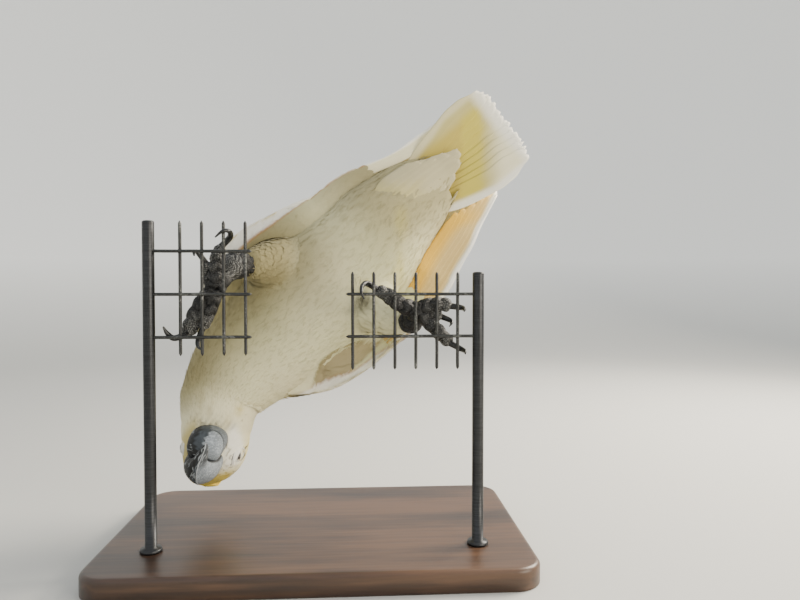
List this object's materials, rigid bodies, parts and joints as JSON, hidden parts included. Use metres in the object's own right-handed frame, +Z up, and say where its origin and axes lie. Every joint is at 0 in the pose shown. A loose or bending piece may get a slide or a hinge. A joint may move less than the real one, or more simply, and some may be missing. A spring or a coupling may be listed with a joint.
{
  "type": "lesser sulphur-crested cockatoo",
  "caption": "Life-size still model of a white cockatoo hanging head down by its feet on two cut squares of wire mesh, on a plain stand.",
  "frame": {"origin": "middle of the underside of the stand's base", "axes": "+Z up; +X towards the bird's right foot and tail; -Y towards the mesh that it grips and the viewer"},
  "size_m": [0.2795, 0.156, 0.3096],
  "materials": {
    "plumage": "soft matte feathers",
    "crest_feathers": "soft matte feathers",
    "bill": "worn horn, half gloss",
    "eye": "wet gloss",
    "foot_skin": "scaly matte skin",
    "claw": "polished horn",
    "mesh_wire": "weathered dark coat on welded wire",
    "rod_steel": "satin black",
    "base_wood": "dark stained, satin"
  },
  "bodies": {
    "root": {"head": "plumage", "neck": "plumage", "eye_left": "eye", "eye_right": "eye", "bill_upper": "bill", "bill_lower": "bill", "crest": "crest_feathers", "trunk": "plumage", "tail": "plumage", "wing_left": "plumage", "flight_left": "plumage", "wing_right": "plumage", "flight_right": "plumage", "thigh_left": "plumage", "foot_left": "foot_skin", "claw_left_1": "claw", "claw_left_2": "claw", "claw_left_3": "claw", "claw_left_4": "claw", "thigh_right": "plumage", "foot_right": "foot_skin", "claw_right_1": "claw", "claw_right_2": "claw", "claw_right_3": "claw", "claw_right_4": "claw", "perch_mesh_left": "mesh_wire", "perch_mesh_right": "mesh_wire", "stand_rod_left": "rod_steel", "stand_rod_right": "rod_steel", "stand_base": "base_wood"}
  },
  "joints": []
}
